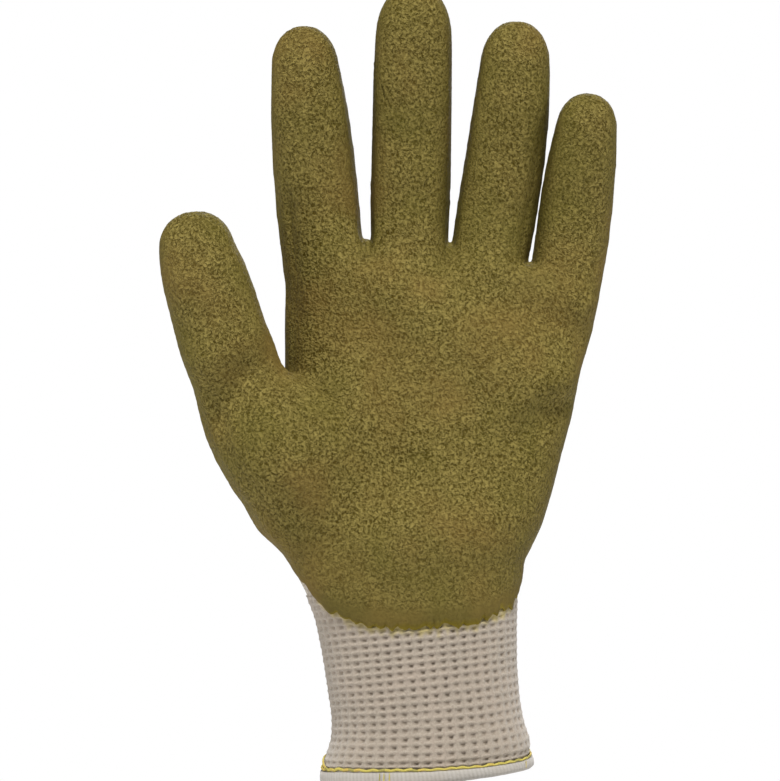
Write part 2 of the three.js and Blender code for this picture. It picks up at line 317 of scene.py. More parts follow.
def outer_skin(node, low, high, reach):
    """The outside of a CAD shell as a closed mesh, lengthened by reach at its lower end."""
    skin = bmesh.new()
    skin.from_mesh(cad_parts[node].data)
    bmesh.ops.remove_doubles(skin, verts=skin.verts, dist=1e-6)
    up = Vector(UP_CUFF)
    rims = []
    for face in skin.faces:
        height = face.calc_center_median().dot(up) / MM
        at_end = abs(height - low) < 0.3 or abs(height - high) < 0.3
        if at_end and abs(face.normal.dot(up)) > 0.98:
            rims.append(face)
    bmesh.ops.delete(skin, geom=rims, context="FACES")

    def beside(vert):
        return [edge.other_vert(vert) for edge in vert.link_edges]

    def width(group):
        xs = [vert.co.x for vert in group]
        return max(xs) - min(xs)

    outside = max(connected_groups(skin.verts, beside), key=width)
    bmesh.ops.delete(skin, geom=[v for v in skin.verts if v not in outside], context="VERTS")
    for vert in [v for v in skin.verts if v.is_boundary]:
        if abs(vert.co.dot(up) / MM - low) < 0.5:
            vert.co -= up * reach * MM
    bmesh.ops.holes_fill(skin, edges=[e for e in skin.edges if e.is_boundary], sides=0)
    bmesh.ops.triangulate(skin, faces=[f for f in skin.faces if len(f.verts) > 4])
    bmesh.ops.recalc_face_normals(skin, faces=skin.faces)
    return skin


def joined_skins():
    """The outsides of hand and cuff in one mesh, the one run on into the other."""
    hand = outer_skin("knit_hand", HAND_START, NO_END, reach=3.0)
    cuff = outer_skin("knit_cuff", CUFF_START, CUFF_END, reach=8.0)
    cuff_mesh = bpy.data.meshes.new("form_cuff")
    cuff.to_mesh(cuff_mesh)
    hand.from_mesh(cuff_mesh)
    mesh = bpy.data.meshes.new("form")
    hand.to_mesh(mesh)
    hand.free()
    cuff.free()
    bpy.data.meshes.remove(cuff_mesh)
    return mesh


def near_crotch(points):
    spots = [bell(np.linalg.norm(points - np.array(c), axis=1), CROTCH_RADIUS) for c in CROTCHES]
    return np.max(spots, axis=0)


def crease_softness(points):
    weight = np.zeros(len(points))
    for x, y, z, radius, most in SOFT_SPOTS:
        distance = np.linalg.norm(points - np.array([x, y, z]), axis=1)
        weight = np.maximum(weight, most * bell(distance, radius))
    return weight


def thumb_side_drawn(points):
    """Deepens the gap beside the thumb and draws in the side below it."""
    x, z, width, depth = THUMB_CROTCH
    points[:, 2] -= depth * bell(np.hypot(points[:, 0] - x, points[:, 2] - z), width)
    outer_side = np.clip((-points[:, 0] - 20) / 25, 0, 1)
    points[:, 0] += outer_side * curve_of(points[:, 2], THUMB_SIDE_TUCK)
    return points


def dented(points, normals):
    """The form with its folds pressed in or raised where the cloth faces the palm side."""
    move = np.zeros(len(points))
    for a, b, width, height in PALM_FOLDS:
        move += height * bell(off_line(points, a, b), width)
    facing = np.clip(-normals[:, 1] * 1.6 - 0.15, 0, 1)
    return points + normals * (move * facing)[:, None]


def knitted_form():
    """Hand and cuff as one smooth closed form, the size of the knit's outside."""
    form = linked("form", joined_skins())
    activate(form)
    form.data.remesh_voxel_size = FORM_VOXEL * MM
    form.data.remesh_voxel_adaptivity = 0
    bpy.ops.object.voxel_remesh()
    mesh = form.data
    edges = edges_of(mesh)
    points = points_of(mesh)
    points = relaxed(points, edges, 0.5 - 0.42 * near_crotch(points), FORM_ROUNDS)
    softness = crease_softness(points) * (1 - near_crotch(points))
    points = relaxed(points, edges, softness, CREASE_ROUNDS)
    place(mesh, thumb_side_drawn(points))
    fewer = form.modifiers.new("fewer", "DECIMATE")
    fewer.ratio = FORM_TRIANGLES / (2 * len(mesh.polygons))
    bpy.ops.object.modifier_apply(modifier=fewer.name)
    mesh = form.data
    points = points_of(mesh) + normals_of(mesh) * FORM_SWELL
    place(mesh, points)
    place(mesh, dented(points, normals_of(mesh)))
    shade_smooth(mesh)
    return form


# Height of the latex edge round the wrist, from the little finger side (0 degrees) over the middle
# of the palm side (90) to the thumb side (180).
WRIST_EDGE = [
    (0, 64.5), (15, 58.2), (33, 53.4), (53, 50.4), (68, 48.6), (90, 47.8), (105, 47.6),
    (119, 48.5), (130, 50.0), (143, 53.4), (150, 57.0), (157, 61.6), (168, 66.5), (180, 70.0),
]
WRIST_MIDDLE_X = -1.0
WRIST_HALF_WIDTH = 32.0
WRIST_HALF_DEPTH = 21.5

# How far behind the middle of the hand the latex reaches, by height.
SIDE_EDGE = [(60, -2.0), (68, 0.0), (76, 3.6), (90, 4.9), (167, 4.5)]

# Fingers and thumb as lines of points with the middle of their depth: where the edge follows them.
FINGER_LINES = {
    "index": [
        (-32.3, 0.0, 167), (-33.1, -0.7, 176.6), (-34.5, -3.5, 192.6),
        (-35.7, -6.6, 205.4), (-36.8, -10.5, 218), (-37.9, -15.0, 231),
    ],
    "middle": [
        (-4.8, 0.0, 167), (-4.6, -0.9, 178.5), (-4.2, -4.4, 197.6),
        (-3.9, -8.4, 212.8), (-3.6, -13.3, 228), (-3.3, -19.0, 243.4),
    ],
    "ring": [
        (20.6, 0.0, 167), (22.4, -0.9, 176.8), (25.0, -4.1, 193),
        (26.5, -7.9, 206), (27.6, -12.6, 219), (28.2, -18.0, 232.2),
    ],
    "little": [
        (44.7, 0.0, 160), (45.6, -0.7, 167.5), (47.1, -3.5, 180),
        (48.2, -6.6, 190), (49.4, -10.5, 200), (50.6, -15.0, 210.2),
    ],
    "thumb": [
        (-34.9, -4.8, 90.8), (-44.5, -8.4, 103.9), (-52.4, -11.2, 115.9),
        (-57.7, -13.4, 126.7), (-62.0, -15.0, 136.0), (-65.6, -17.0, 148.5),
        (-67.9, -18.4, 156), (-69.9, -19.0, 162.6), (-71.5, -20.0, 174),
    ],
}
FINGER_ROOTS = {"index": 167, "middle": 167, "ring": 167, "little": 160}

# The webs between the fingers, where the latex lies smooth: x, z.
WEBS = [(-18.6, 164), (7.7, 163), (32.2, 155)]

OnFinger = namedtuple("OnFinger", "distance middle from_root to_tip")


def along_finger(points, line):
    """For each point the nearest place on a finger's line, and the line's depth there."""
    line = np.array(line, float)
    lengths = np.linalg.norm(np.diff(line, axis=0), axis=1)
    before = np.concatenate([[0], np.cumsum(lengths)])
    nearest = np.full(len(points), 1e9)
    middle = np.zeros(len(points))
    from_root = np.zeros(len(points))
    for i, length in enumerate(lengths):
        run = line[i + 1] - line[i]
        t = np.clip(((points - line[i]) @ run) / (run @ run), 0, 1)
        foot = line[i] + t[:, None] * run
        distance = np.linalg.norm(points - foot, axis=1)
        closer = distance < nearest
        nearest = np.where(closer, distance, nearest)
        middle = np.where(closer, foot[:, 1], middle)
        from_root = np.where(closer, before[i] + t * length, from_root)
    return OnFinger(nearest, middle, from_root, before[-1] - from_root)


def above_wrist_edge(points):
    """Height above the latex edge round the wrist."""
    x = (points[:, 0] - WRIST_MIDDLE_X) / WRIST_HALF_WIDTH
    y = -points[:, 1] / WRIST_HALF_DEPTH
    angle = np.degrees(np.arctan2(y, x))
    return points[:, 2] - curve_of(np.clip(angle, 0, 180), WRIST_EDGE)


def side_depth(points):
    """How far each point lies in front of the latex edge along the hand's sides."""
    near = {name: along_finger(points, line) for name, line in FINGER_LINES.items()}
    nearest = np.min([spot.distance for spot in near.values()], axis=0)
    behind = curve_of(points[:, 2], SIDE_EDGE)
    for name, root in FINGER_ROOTS.items():
        spot = near[name]
        on = (spot.distance < 15) & (points[:, 2] > root) & (nearest >= spot.distance - 1e-6)
        behind = np.where(on, spot.middle + WRAP, behind)
    # Past a leaning plane beside the palm the edge follows the thumb's own middle.
    lean = points[:, 0] + 0.17 * (points[:, 2] - 121.6) + 44.2
    share = np.clip((5.0 - lean) / 10.0, 0, 1) * np.clip((points[:, 2] - 84) / 14, 0, 1)
    behind = behind * (1 - share) + (near["thumb"].middle + WRAP) * share
    side = behind - points[:, 1]
    # The tips are dipped all round.
    for spot in near.values():
        tip = np.where(spot.distance < 16, TIP_DIP - spot.to_tip, -99)
        side = np.maximum(side, tip)
    return side


def latex_depth(points):
    """How far each point lies inside the latex, negative outside it, in millimetres."""
    ragged = noise_at(Vector(p) * 0.33 for p in points)
    wales = np.degrees(np.arctan2(-points[:, 1], points[:, 0])) / 360 * WALES
    teeth = np.abs((wales % 1) - 0.5) * 2
    at_wrist = np.clip((74 - points[:, 2]) / 8, 0, 1)
    wrist = above_wrist_edge(points) + at_wrist * (1.9 * (teeth - 0.5) + 1.6 * ragged)
    side = side_depth(points) + ragged + 0.5 * (teeth - 0.5)
    return np.minimum(wrist, side)


def cut_along(work, layer):
    """Splits the mesh where the layer's value crosses 0 and keeps what lies above it."""
    mixed = []
    for face in work.faces:
        values = [v[layer] for v in face.verts]
        if min(values) < 0 < max(values):
            mixed.append(face)
    bmesh.ops.triangulate(work, faces=mixed)
    crossing = [e for e in work.edges if e.verts[0][layer] * e.verts[1][layer] < 0]
    fresh = set()
    for edge in crossing:
        a, b = edge.verts
        t = a[layer] / (a[layer] - b[layer])
        _, vert = bmesh.utils.edge_split(edge, a, min(max(t, 0.04), 0.96))
        vert[layer] = 0
        fresh.add(vert)
    for face in list(work.faces):
        ends = [v for v in face.verts if v in fresh]
        if len(ends) != 2:
            continue
        a, b = ends
        if not any(edge.other_vert(a) is b for edge in a.link_edges):
            bmesh.utils.face_split(face, a, b)
    gone = [f for f in work.faces if sum(v[layer] for v in f.verts) < 0]
    bmesh.ops.delete(work, geom=gone, context="FACES")
    drop_loose_points(work)


def drop_loose_points(work):
    bmesh.ops.delete(work, geom=[v for v in work.verts if not v.link_faces], context="VERTS")


def keep_largest(work):
    def beside(face):
        return [other for edge in face.edges for other in edge.link_faces]

    largest = max(connected_groups(work.faces, beside), key=len)
    bmesh.ops.delete(work, geom=[f for f in work.faces if f not in largest], context="FACES")
    drop_loose_points(work)


def latex_patch(form):
    """The part of the form that the latex covers, with each point's depth in the latex."""
    depth = latex_depth(points_of(form.data))
    depth = np.where(np.abs(depth) < 0.01, 0.01, depth)
    patch = bmesh.new()
    patch.from_mesh(form.data)
    reach = patch.verts.layers.float.new("depth")
    for vert, value in zip(patch.verts, depth):
        vert[reach] = value
    cut_along(patch, reach)
    # Specks of latex that the ragged edge leaves by themselves are dropped.
    keep_largest(patch)
    bmesh.ops.triangulate(patch, faces=[f for f in patch.faces if len(f.verts) > 4])
    patch.normal_update()
    patch.verts.index_update()
    return patch, reach


def closed_shell(patch, reach):
    """The patch as a skin with a seat under it, thinner at the rim and in the gaps."""
    count = len(patch.verts)
    seat, full = [], []
    thin = near_crotch(np.array([v.co for v in patch.verts]) / MM)
    for vert, thinner in zip(patch.verts, thin):
        inside = max(0.0, vert[reach]) / LATEX_RIM_WIDTH
        rise = LATEX_RIM + (LATEX_FULL - LATEX_RIM) * min(1.0, inside) * (1 - 0.7 * thinner)
        seat.append(vert.co + vert.normal * LATEX_SEAT * MM)
        full.append(vert.co + vert.normal * rise * MM)
    faces = [tuple(v.index for v in f.verts) for f in patch.faces]
    inner = [tuple(v.index + count for v in reversed(f.verts)) for f in patch.faces]
    rims = []
    for edge in patch.edges:
        if edge.is_boundary:
            loop = edge.link_loops[0]
            a, b = loop.vert.index, loop.link_loop_next.vert.index
            rims.append((b, a, a + count, b + count))
    depths = [v[reach] for v in patch.verts]
    skin = bpy.data.meshes.new("latex_skin")
    skin.from_pydata([tuple(p) for p in full + seat], [], faces + inner + rims)
    skin.update()
    store(skin, "depth", depths + depths)
    store(skin, "outside", [1.0] * count + [0.0] * count)
    return skin


def latex_skin(form):
    """The latex as one closed skin: a fine crinkled outside, a thin rim and a plain inside."""
    patch, reach = latex_patch(form)
    skin = closed_shell(patch, reach)
    outside = len(patch.faces)
    patch.free()
    work = bmesh.new()
    work.from_mesh(skin)
    work.faces.ensure_lookup_table()
    edges = list(dict.fromkeys(e for f in work.faces[:outside] for e in f.edges))
    bmesh.ops.subdivide_edges(work, edges=edges, cuts=1, use_grid_fill=True, smooth=0.6)
    bmesh.ops.triangulate(work, faces=[f for f in work.faces if len(f.verts) > 4])
    work.to_mesh(skin)
    work.free()
    crinkle(skin)
    return linked("latex_skin", skin)


def smooth_share(points, normals):
    """Where the latex has no crinkle: 1 is smooth."""
    wrist = above_wrist_edge(points)
    at_edge = 0.85 * np.clip((9.0 - wrist) / 4.5, 0, 1)
    above_edge = 0.35 * np.clip((32 - wrist) / 14, 0, 1)
    smooth = np.maximum(at_edge, above_edge)
    for x, z in WEBS:
        spot = np.hypot(points[:, 0] - x, points[:, 2] - z)
        smooth = np.maximum(smooth, 0.4 * bell(spot, 5.0))
    sideways = np.clip(np.abs(normals[:, 0]) * 2.2 - 1.25, 0, 1)
    return np.maximum(smooth, 0.75 * sideways)


def crinkle_height(p):
    """Worm-like ridges about 2 mm apart, from 0 in the pits to 1 on the crests."""
    swirl = noise.noise_vector(p * 0.35) * 0.9
    broad = noise.noise((p + swirl) * 0.62)
    fine = noise.noise((p + swirl) * 1.15 + Vector((7.3, 1.9, 4.4)))
    broad_pit = min(1, abs(broad) * RIDGE_STEEPNESS)
    fine_pit = min(1, abs(fine) * RIDGE_STEEPNESS)
    return 1 - broad_pit * 0.7 - fine_pit * 0.3


def crinkle(skin):
    """Raises the crinkle's ridges on the outside and keeps the tone values for the material."""
    points, normals = points_of(skin), normals_of(skin)
    smooth = smooth_share(points, normals)
    ridges = np.array([crinkle_height(Vector(p)) for p in points])
    outside = np.array([d.value for d in skin.attributes["outside"].data])
    depth = np.array([d.value for d in skin.attributes["depth"].data])
    inland = np.clip(depth / 4.0, 0, 1)
    lift = CRINKLE_RISE * (ridges - 0.5) * (1 - smooth) * inland * outside
    place(skin, points + normals * lift[:, None])
    low = np.clip((80 - points[:, 2]) / 10, 0, 1)
    store(skin, "smooth", smooth)
    store(skin, "rim", np.clip(1.0 - depth / 0.9, 0, 1) * low)


# The cuff is measured on a grid: places round it, and rings a millimetre apart above the mouth.
RAYS = 720
RING_STEPS = 240
RING_TOP = 66
FIRST_RING = 2

# How far the cuff swells out over the hem, by height above the mouth.
CUFF_SWELL = [(4, 0.0), (6, 0.25), (8, 0.5), (11, 0.3), (16, 0.0)]

# How far the hem's upper edge dips, by the way round from the thumb side, and the share of that
# dip by height.
HEM_DIP = [
    (0, 0.0), (0.1, 0.0), (0.2, 1.6), (0.25, 2.5), (0.34, 3.4),
    (0.42, 3.5), (0.5, 2.9), (0.62, 1.0), (0.75, 0.0), (1, 0.0),
]
DIP_SHARE = [(0, 0), (THREAD_HEIGHT, 1), (34, 0)]


def cuff_grid(form):
    """Points on the form and the directions outwards there."""
    mesh = form.data
    tree = BVHTree.FromPolygons(
        [tuple(p) for p in points_of(mesh)], [tuple(p.vertices) for p in mesh.polygons]
    )
    rings = []
    for ring in range(RING_TOP + 1):
        middle = Vector((0, 0, max(ring, FIRST_RING) / COS_MOUTH))
        hits = []
        for k in range(RAYS):
            angle = math.radians(k * 360 / RAYS)
            away = -math.cos(angle)
            way = Vector((away, -math.sin(angle), away * SIN_MOUTH / COS_MOUTH))
            hit, _, _, _ = tree.ray_cast(middle, way.normalized())
            hits.append(hit)
        hits = np.array(hits + hits[:1])
        steps = np.concatenate([[0], np.cumsum(np.linalg.norm(np.diff(hits, axis=0), axis=1))])
        even = np.linspace(0, steps[-1], RING_STEPS, endpoint=False)
        rings.append(np.stack([np.interp(even, steps, hits[:, i]) for i in range(3)], axis=1))
    grid = np.array(rings)
    for ring in range(FIRST_RING):
        grid[ring] = grid[FIRST_RING] + (ring - FIRST_RING) * np.array(UP_CUFF)
    round_way = np.roll(grid, -1, axis=1) - np.roll(grid, 1, axis=1)
    up_way = np.gradient(grid, axis=0)
    out = np.cross(round_way, up_way)
    out /= np.linalg.norm(out, axis=2, keepdims=True)
    swell = curve_of(np.arange(RING_TOP + 1), CUFF_SWELL)
    return grid + out * swell[:, None, None], out


def on_cuff(grid, out, turn, height, proud):
    """Points by their share of the way round from the thumb side, height and distance out."""
    k = (np.asarray(turn) % 1) * RING_STEPS
    low_k = np.floor(k).astype(int) % RING_STEPS
    next_k = (low_k + 1) % RING_STEPS
    s = (k - np.floor(k))[:, None]
    dip = curve_of(np.asarray(turn) % 1, HEM_DIP)
    height = height - dip * curve_of(height, DIP_SHARE)
    under = np.minimum(height, 0)
    h = np.clip(height, 0, RING_TOP - 0.001)
    low_h = np.floor(h).astype(int)
    t = (h - low_h)[:, None]

    def blend(table):
        first = table[low_h, low_k] * (1 - s) + table[low_h, next_k] * s
        second = table[low_h + 1, low_k] * (1 - s) + table[low_h + 1, next_k] * s
        return first * (1 - t) + second * t

    down = np.array(UP_CUFF) * under[:, None]
    return blend(grid) + down + blend(out) * np.asarray(proud)[:, None]


def course_heights():
    heights = [CUFF_LOW]
    while heights[-1] < CUFF_HIGH:
        step = COURSE_AT_HEM if len(heights) <= COURSES_AT_HEM else COURSE
        heights.append(heights[-1] + step)
    return np.array(heights)


# Rings of points in a knit cell, from its edge inwards: half width, roundness, how much wider and
# taller than the inset leaves them, sideways and upward shift, and depth.
CellRing = namedtuple("CellRing", "reach roundness wide tall shift depth")
CELL_RINGS = [
    CellRing(0.49, 0.35, 1, 1, 0, 0.0),
    CellRing(0.32, 1, 1.02, 1.04, 0, 0.06),
    CellRing(0.22, 1, 1.1, 1.0, 0.05, 0.3),
]
CELL_INSETS = (0.14, 0.08, 0.11)
CELL_LEAN = 0.16
INNER_SIDE = -1
STEPS_A_CELL = 3


def knit_cell():
    """One cell of the mesh knit, 1 by 1: a dimple between two courses and two wales."""
    cell = new_plane("mesh_cuff", 1, (0.5, 0.5, 0))
    bpy.ops.object.mode_set(mode="EDIT")
    bpy.ops.mesh.subdivide(number_cuts=STEPS_A_CELL - 1)
    bpy.ops.mesh.select_all(action="SELECT")
    bpy.ops.mesh.dissolve_faces()
    for inset in CELL_INSETS:
        bpy.ops.mesh.inset(thickness=inset)
    bpy.ops.mesh.poke()
    bpy.ops.object.mode_set(mode="OBJECT")
    for vert in cell.data.vertices:
        x, y = vert.co.x - 0.5, vert.co.y - 0.5
        far = max(abs(x), abs(y))
        rings = [ring for ring in CELL_RINGS if far <= ring.reach]
        if not rings:
            continue
        ring = rings[-1]
        rounding = 1 + ring.roundness * (far / max(math.hypot(x, y), 0.01) - 1)
        lean = CELL_LEAN * y
        # The dimple is deepest at its upper right; a strand slants up at the lower left.
        x = x * rounding * ring.wide + lean + ring.shift
        y = y * rounding * ring.tall + ring.shift
        shallow = 0.5 if ring.shift and x + y < -0.12 else 1
        vert.co = (0.5 + x, 0.5 + y, -ring.depth * shallow)
    return cell


def repeat(cell, rows):
    """Repeats the cell round the cuff and up it, as one flat mesh."""
    for axis, count in ((0, WALES), (1, rows)):
        array = cell.modifiers.new("repeat", "ARRAY")
        array.use_relative_offset = False
        array.use_constant_offset = True
        array.constant_offset_displace = (1 - axis, axis, 0)
        array.count = count
        array.use_merge_vertices = True
        array.merge_threshold = 0.001
        bpy.ops.object.modifier_apply(modifier=array.name)


def line_inside(mesh, rows):
    """Adds the plain inside of the flat knit and joins it to the outside at both ends."""
    work = bmesh.new()
    work.from_mesh(mesh)
    steps = WALES * STEPS_A_CELL
    ends = {end: [v for v in work.verts if abs(v.co.y - end) < 0.001] for end in (0, rows)}
    inner = []
    for j in range(rows + 1):
        inner.append([work.verts.new((k / STEPS_A_CELL, j, INNER_SIDE)) for k in range(steps + 1)])
    for j in range(rows):
        for k in range(steps):
            work.faces.new((inner[j][k], inner[j + 1][k], inner[j + 1][k + 1], inner[j][k + 1]))
    for end, verts in ends.items():
        rim = sorted(verts, key=lambda v: v.co.x)
        for k in range(steps):
            work.faces.new((rim[k], inner[end][k], inner[end][k + 1], rim[k + 1]))
    work.to_mesh(mesh)
    work.free()


def mesh_cuff(grid, out):
    """The mesh knit of the cuff: one cell repeated round and up, then laid on the form."""
    heights = course_heights()
    rows = len(heights) - 1
    cuff = knit_cell()
    activate(cuff)
    repeat(cuff, rows)
    mesh = cuff.data
    line_inside(mesh, rows)
    a, b, depth = (points_of(mesh) * MM).T
    inner = depth < INNER_SIDE / 2
    in_a, in_b = a % 1, b % 1
    to_course = np.abs(in_b - np.round(in_b))
    to_wale = np.abs(in_a - np.round(in_a))
    bar = np.clip(1 - to_course / 0.24, 0, 1)
    post = np.clip(1 - to_wale / 0.3, 0, 1)
    sunk = np.where(inner, 0, -depth / CELL_RINGS[-1].depth)
    wobble = noise_at(Vector((x * 0.9, y * 0.9, 3.1)) for x, y in zip(a, b))
    uneven = noise_at(
        Vector((math.floor(x) * 1.7, math.floor(y) * 1.9, 8.3)) for x, y in zip(a, b)
    )
    at_side = np.cos(2 * np.pi * a / WALES) ** 6
    yarn = 0.42 * bar + 0.10 * post * (1 - bar)
    proud = -0.38 + yarn * (1 - 0.5 * at_side) + 0.2 * at_side + 0.08 * wobble
    proud = proud + 0.35 * np.clip((b - rows + 1.5) / 1.5, 0, 1)
    proud = proud - DIMPLE * sunk * (1 + 0.8 * uneven)
    proud = proud + DIMPLE * sunk * 0.6 * at_side
    proud = np.where(inner, -CUFF_WALL, np.maximum(proud, -CUFF_WALL + 0.12))
    shift = np.clip(sunk * 3, 0, 1)
    arch = 0.10 * np.cos(2 * np.pi * (in_a - 0.5)) * np.clip(1 - to_course / 0.25, 0, 1)
    sway = 0.06 * wobble
    turn = (a + sway + 0.12 * uneven * shift) / WALES
    height = np.interp(b + arch + sway - 0.10 * uneven * shift, np.arange(rows + 1), heights)
    points = on_cuff(grid, out, turn, height, proud)
    soaked = np.clip(1.0 + latex_depth(points) / 2.5, 0, 1)
    # The sunk value also darkens the yarn in the material: painted shade in the dimples and, at
    # 0.3, on the whole inside wall.
    store(mesh, "sunk", np.where(inner, 0.3, sunk * (1 - 0.45 * at_side)))
    store(mesh, "soak", soaked * np.where(inner, 0.5, 1.0))
    place(mesh, points)
    turn_faces_out(cuff, merge=0.00002)
    return cuff


# Section of the hem, clockwise from its upper outer edge: height above the mouth, distance out.
# Its first six points are the outside, the next six the turn and the inside.
HEM_SECTION = [
    (6.4, 0.35), (6.0, 0.95), (4.6, 1.3), (2.6, 1.35), (1.0, 1.05), (0.1, 0.3),
    (-0.1, -0.7), (0.1, -1.7), (1.0, -2.4), (2.8, -2.6), (4.8, -2.45), (5.9, -1.95),
    (5.4, -1.4), (3.4, -1.35), (3.4, 0.32), (5.4, 0.3),
]
HEM_OUTSIDE = 6
HEM_SEEN = 12


def hem_band(grid, out):
    """The overlocked hem: a closed section taken round the mouth, ribbed by its threads."""
    steps = HEM_RIBS * STEPS_A_RIB
    section = np.array(HEM_SECTION)
    n = len(section)
    turn = np.repeat(np.arange(steps) / steps, n)
    height = np.tile(section[:, 0], steps)
    proud = np.tile(section[:, 1], steps)
    slant = turn + 0.00035 * height
    rib = np.cos(2 * np.pi * slant * HEM_RIBS)
    wander = noise_at(Vector((t * 60, h * 0.15, 0.5)) for t, h in zip(turn, height))
    seen = np.tile((np.arange(n) < HEM_SEEN).astype(float), steps)
    away = np.where(np.tile(np.arange(n) < HEM_OUTSIDE, steps), 1.0, -1.0)
    proud = proud + away * seen * (0.035 * rib + 0.12 * wander)
    height = height + seen * 0.12 * wander * np.where(height < 3, 1, 0)
    points = on_cuff(grid, out, turn, height, proud)
    faces = []
    for i in range(steps):
        j = (i + 1) % steps
        for k in range(n):
            m = (k + 1) % n
            faces.append((i * n + k, i * n + m, j * n + m, j * n + k))
    mesh = mesh_from("hem_stitching", points, faces)
    # The rib value also darkens the yarn between the ribs in the material: painted shade.
    store(mesh, "rib", rib)
    return linked("hem_stitching", mesh)


# One stitch: where it lies, half its run round and half its climb, its thickness and distance out.
Stitch = namedtuple("Stitch", "turn height run climb thickness seat")

# A stitch tapers towards its ends: the place along it and the share of its thickness there.
STITCH_TAPER = [
    (-1.0, 0.25), (-0.86, 0.62), (-0.5, 0.95), (0.0, 1.0), (0.5, 0.95), (0.86, 0.62), (1.0, 0.25),
]
STITCH_SIDES = 8

# The tail's height above the line of stitches, by the way along it.
TAIL_RISE = [(0, 0.2), (0.55, 2.9), (1, 3.3)]
TAIL_BEND = 0.55


def thread_stitches(rng):
    """The line of slanted stitches, the tail on the thumb side and a few loose ends."""
    stitches = []
    for i in range(THREAD_STITCHES):
        height = THREAD_HEIGHT + rng.uniform(-0.12, 0.12)
        climb = 0.26 * (-1) ** i
        stitches.append(Stitch(i / THREAD_STITCHES, height, 1.62, climb, 0.43, 0.45))
    # The tail comes round the thumb side from behind and runs down into the line.
    for i in range(TAIL_STITCHES):
        t = i / (TAIL_STITCHES - 1)
        height = THREAD_HEIGHT + curve_of(t, TAIL_RISE)
        climb = -0.26 if t < TAIL_BEND else -0.05
        stitches.append(Stitch(0.052 - 0.112 * t, height, 0.92, climb, 0.40, 0.30))
    for turn in LOOSE_ENDS:
        stitches.append(Stitch(turn, 3.9, 0.15, 2.4, 0.16, 1.38))
    return stitches


def stitch_thread(grid, out):
    """The yellow thread: overlapping slanted stitches along the hem's upper edge, and its tail."""
    rng = np.random.default_rng(11)
    stitches = thread_stitches(rng)
    ring = grid[int(THREAD_HEIGHT)]
    ring_length = np.linalg.norm(np.diff(np.vstack([ring, ring[:1]]), axis=0), axis=1).sum()
    points, faces, shades = [], [], []
    for stitch in stitches:
        shade = rng.uniform(0, 1)
        base = len(points)
        length = math.hypot(stitch.run, stitch.climb)
        for s, g in STITCH_TAPER:
            for k in range(STITCH_SIDES):
                angle = 2 * math.pi * k / STITCH_SIDES
                side = math.sin(angle) * g * stitch.thickness * 1.05
                proud = stitch.seat + math.cos(angle) * g * stitch.thickness * 0.8
                across = s * stitch.run - side * stitch.climb / length
                height = stitch.height + s * stitch.climb + side * stitch.run / length
                points.append((stitch.turn + across / ring_length, height, proud))
                shades.append(shade)
        last = base + (len(STITCH_TAPER) - 1) * STITCH_SIDES
        for a in range(base, last, STITCH_SIDES):
            b = a + STITCH_SIDES
            for k in range(STITCH_SIDES):
                m = (k + 1) % STITCH_SIDES
                faces.append((a + k, a + m, b + m, b + k))
        faces.append(tuple(base + k for k in reversed(range(STITCH_SIDES))))
        faces.append(tuple(last + k for k in range(STITCH_SIDES)))
    turn, height, proud = np.array(points).T
    mesh = mesh_from("yellow_thread", on_cuff(grid, out, turn, height, proud), faces)
    store(mesh, "shade", shades)
    thread = linked("yellow_thread", mesh)
    turn_faces_out(thread)
    return thread


def stitch_places(points):
    """Wale and course of each point: straight up the hand, and round and along each finger."""
    x, y, z = points.T
    # Under the thumb the wall slants, so its courses are counted along the slant.
    around, along = x.copy(), z + THUMB_SLANT * np.maximum(0, -x - 33)
    for name, line in FINGER_LINES.items():
        spot = along_finger(points, line)
        steps = np.linalg.norm(np.diff(np.array(line), axis=0), axis=1)
        steps = np.concatenate([[0], np.cumsum(steps)])
        centre = np.interp(spot.from_root, steps, [p[0] for p in line])
        root = 22 if name == "thumb" else 0
        past_root = np.clip((spot.from_root - root) / 18, 0, 1)
        share = past_root * np.clip((17 - spot.distance) / 4, 0, 1)
        turn = np.arctan2(x - centre, y - spot.middle)
        around += share * (centre + FINGER_RADIUS * turn - x)
        along += share * (line[0][2] + spot.from_root - along)
    return around / WALE, along / JERSEY_COURSE


def liner_from(form):
    """The knitted hand: the form above the cuff with a wall turned inwards."""
    mesh = form.data.copy()
    liner = linked("knit_liner", mesh)
    work = bmesh.new()
    work.from_mesh(mesh)
    up = Vector(UP_CUFF)
    bmesh.ops.bisect_plane(
        work, geom=work.verts[:] + work.edges[:] + work.faces[:],
        plane_co=up * LINER_START * MM, plane_no=up, clear_inner=True,
    )
    work.to_mesh(mesh)
    work.free()
    wale, course = stitch_places(points_of(mesh))
    store(mesh, "wale", wale)
    store(mesh, "course", course)
    activate(liner)
    wall = liner.modifiers.new("wall", "SOLIDIFY")
    wall.thickness = LINER_WALL * MM
    wall.offset = -1
    bpy.ops.object.modifier_apply(modifier=wall.name)
    return liner


def new_group(name, inputs, output):
    group = bpy.data.node_groups.new(name, "ShaderNodeTree")
    for label, value in inputs:
        socket = group.interface.new_socket(label, in_out="INPUT", socket_type="NodeSocketFloat")
        socket.default_value = value
    group.interface.new_socket(output, in_out="OUTPUT", socket_type="NodeSocketFloat")
    return group, group.nodes.new("NodeGroupInput"), group.nodes.new("NodeGroupOutput")


def math_node(tree, operation, first, second=None):
    node = tree.nodes.new("ShaderNodeMath")
    node.operation = operation
    for socket, value in zip(node.inputs, (first, second)):
        if isinstance(value, (int, float)):
            socket.default_value = value
        elif value is not None:
            tree.links.new(value, socket)
    return node.outputs[0]


def object_place(tree):
    return tree.nodes.new("ShaderNodeTexCoord").outputs["Object"]


def attribute(tree, name):
    node = tree.nodes.new("ShaderNodeAttribute")
    node.attribute_name = name
    return node.outputs["Fac"]


